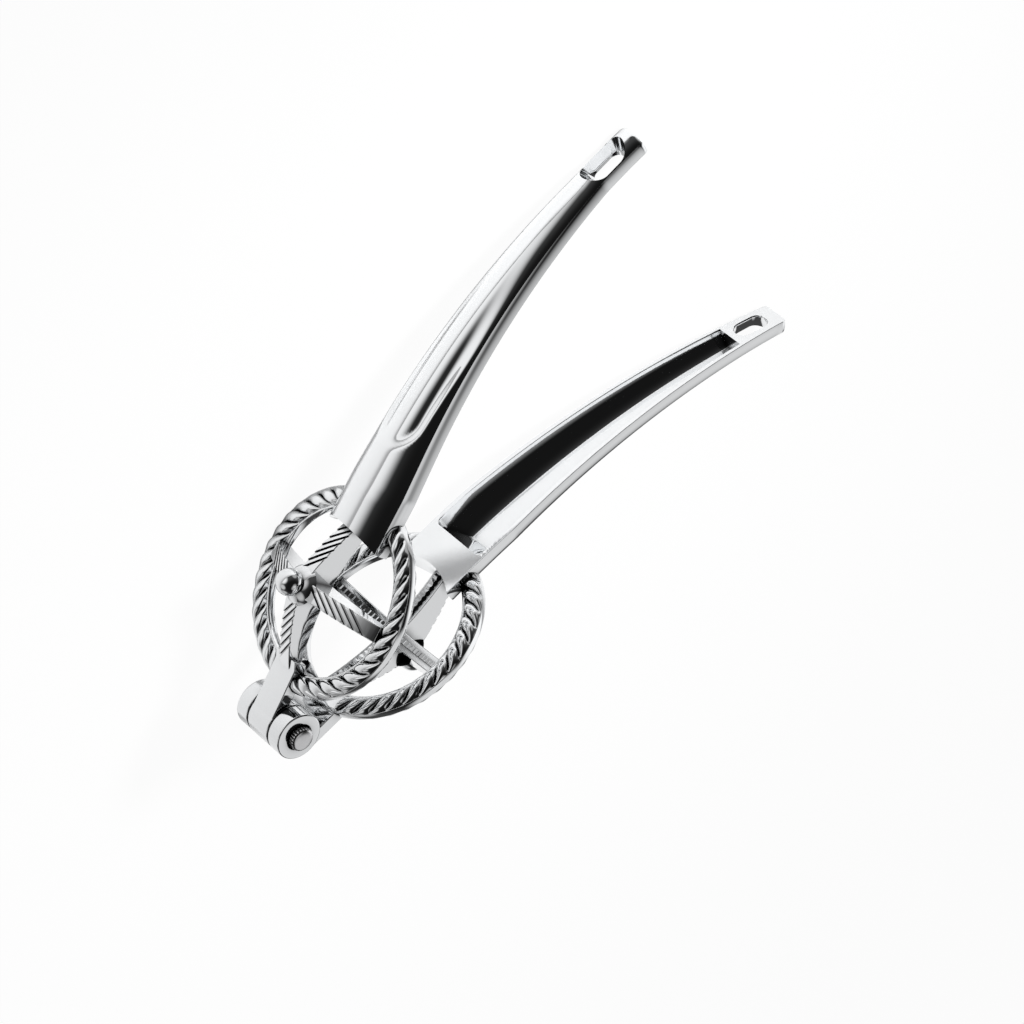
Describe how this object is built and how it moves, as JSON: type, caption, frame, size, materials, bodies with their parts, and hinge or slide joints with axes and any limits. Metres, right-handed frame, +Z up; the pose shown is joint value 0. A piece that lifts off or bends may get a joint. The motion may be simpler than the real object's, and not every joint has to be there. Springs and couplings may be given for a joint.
{
  "type": "chestnut cutter",
  "caption": "Hinged hand tool that scores chestnuts: rope-edged rings with crossed serrated blades close on the nut, on channelled handles with hanging holes.",
  "frame": {"origin": "middle of the bottom of the box round the tool as it lies on a table on both rings and the tip of the upper handle", "axes": "+X from the hinge towards the handles, +Y across the open jaws towards the upper jaw, +Z up; the hinge pin leans 9.8 degrees from +Z towards +X"},
  "size_m": [0.1742, 0.0974, 0.0536],
  "materials": {
    "jaw_chrome": "polished chrome plating over cast zinc alloy",
    "pin_chrome": "turned steel, bright, with a knurled end"
  },
  "bodies": {
    "lower": {"lower_jaw": "jaw_chrome", "hinge_pin": "pin_chrome"},
    "upper": {"upper_jaw": "jaw_chrome"}
  },
  "joints": [
    {"name": "jaw_hinge", "type": "hinge", "parent": "lower", "child": "upper", "pos_m": [-0.07934, 0.016, 0.03262], "axis": [0.1707, 0, 0.9853], "range_deg": [-25, 50]}
  ]
}
